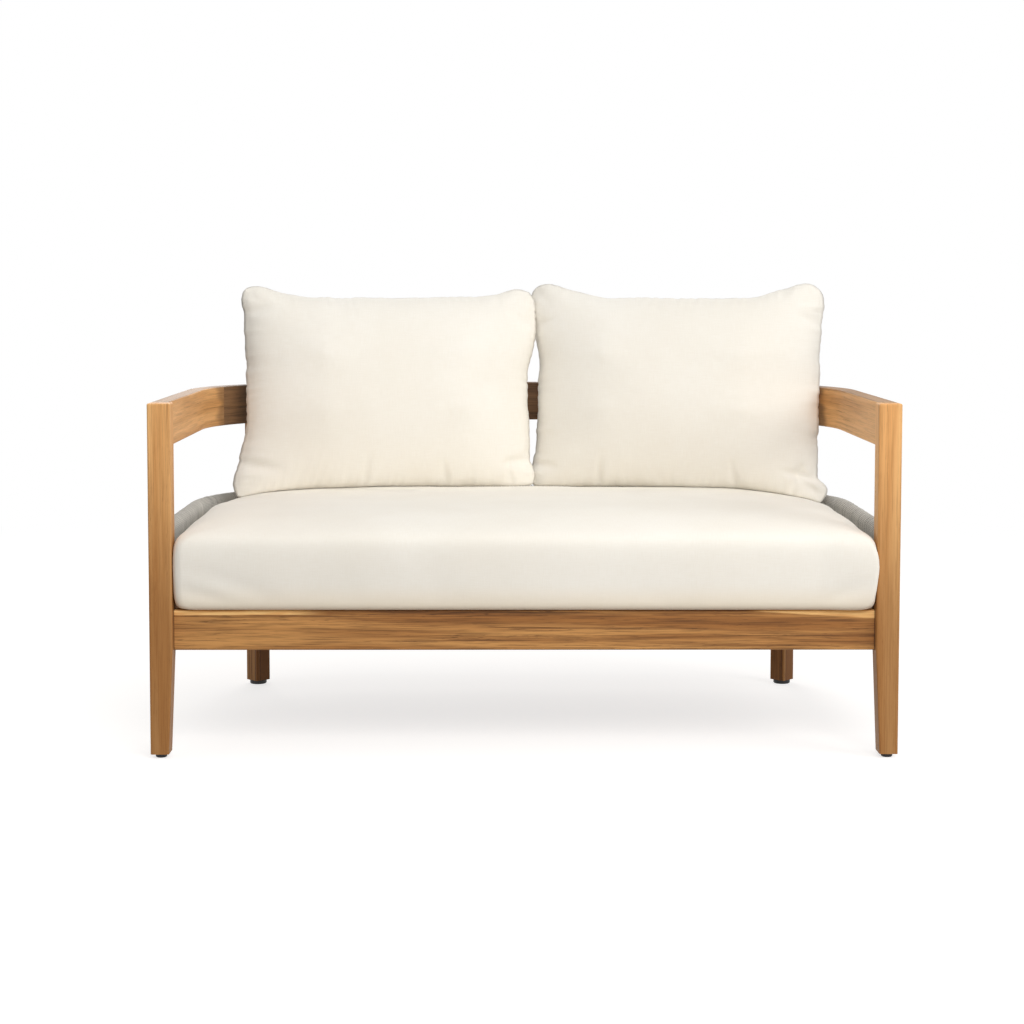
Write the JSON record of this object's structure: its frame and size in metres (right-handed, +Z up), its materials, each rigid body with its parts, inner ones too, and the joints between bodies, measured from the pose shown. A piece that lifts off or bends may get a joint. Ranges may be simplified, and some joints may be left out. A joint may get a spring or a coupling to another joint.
{
  "type": "patio loveseat",
  "caption": "Patio loveseat: wooden frame bending round the back in one line, rope-wound side and back panels, slatted deck, one seat cushion and two loose back cushions.",
  "frame": {"origin": "on the floor, in the middle of the footprint", "axes": "+X to the sitter's left, which is the picture's right; +Y towards the back of the seat; +Z up; the front faces -Y"},
  "size_m": [1.3, 0.796, 0.8265],
  "materials": {
    "wood": "oiled hardwood, satin, brown with light sapwood streaks",
    "rope": "warm grey braided outdoor rope, matt",
    "cushion": "cream woven outdoor fabric, matt",
    "zip": "cream zip tape, matt",
    "frame_metal": "powder coated, matt",
    "fastener": "stainless, satin",
    "glide": "black plastic, matt"
  },
  "bodies": {
    "frame": {"arm_rail_left": "wood", "arm_rail_right": "wood", "back_glide_left": "glide", "back_glide_right": "glide", "back_leg_left": "wood", "back_leg_right": "wood", "back_seat_rail": "wood", "back_top_rail": "wood", "barrel_nuts": "fastener", "bolt_plugs": "wood", "front_glide_left": "glide", "front_glide_right": "glide", "front_leg_left": "wood", "front_leg_right": "wood", "front_seat_rail": "wood", "loose_tenons": "wood", "post_bolts": "fastener", "rope_frame_back": "frame_metal", "rope_frame_left": "frame_metal", "rope_frame_right": "frame_metal", "rope_winding_back": "rope", "rope_winding_left": "rope", "rope_winding_right": "rope", "seat_corner_left": "wood", "seat_corner_right": "wood", "seat_front_cleat": "wood", "seat_middle_crossbar": "wood", "seat_rear_cleat": "wood", "seat_rear_crossbar": "wood", "side_seat_rail_left": "wood", "side_seat_rail_right": "wood", "slat_01": "wood", "slat_02": "wood", "slat_03": "wood", "slat_04": "wood", "slat_05": "wood", "slat_06": "wood", "slat_07": "wood", "slat_08": "wood", "slat_09": "wood", "slat_10": "wood", "slat_11": "wood", "slat_screws": "fastener", "top_corner_left": "wood", "top_corner_right": "wood"},
    "seat_cushion": {"seat_cushion": "cushion", "seat_cushion_zip": "zip"},
    "back_cushion_left": {"back_cushion_left": "cushion"},
    "back_cushion_right": {"back_cushion_right": "cushion"}
  },
  "joints": [
    {"name": "seat_cushion_lift", "type": "slide", "parent": "frame", "child": "seat_cushion", "axis": [0, 0, 1], "range_m": [0, 0.15]},
    {"name": "back_cushion_left_lift", "type": "slide", "parent": "seat_cushion", "child": "back_cushion_left", "axis": [0, 0, 1], "range_m": [0, 0.2]},
    {"name": "back_cushion_right_lift", "type": "slide", "parent": "seat_cushion", "child": "back_cushion_right", "axis": [0, 0, 1], "range_m": [0, 0.2]}
  ]
}
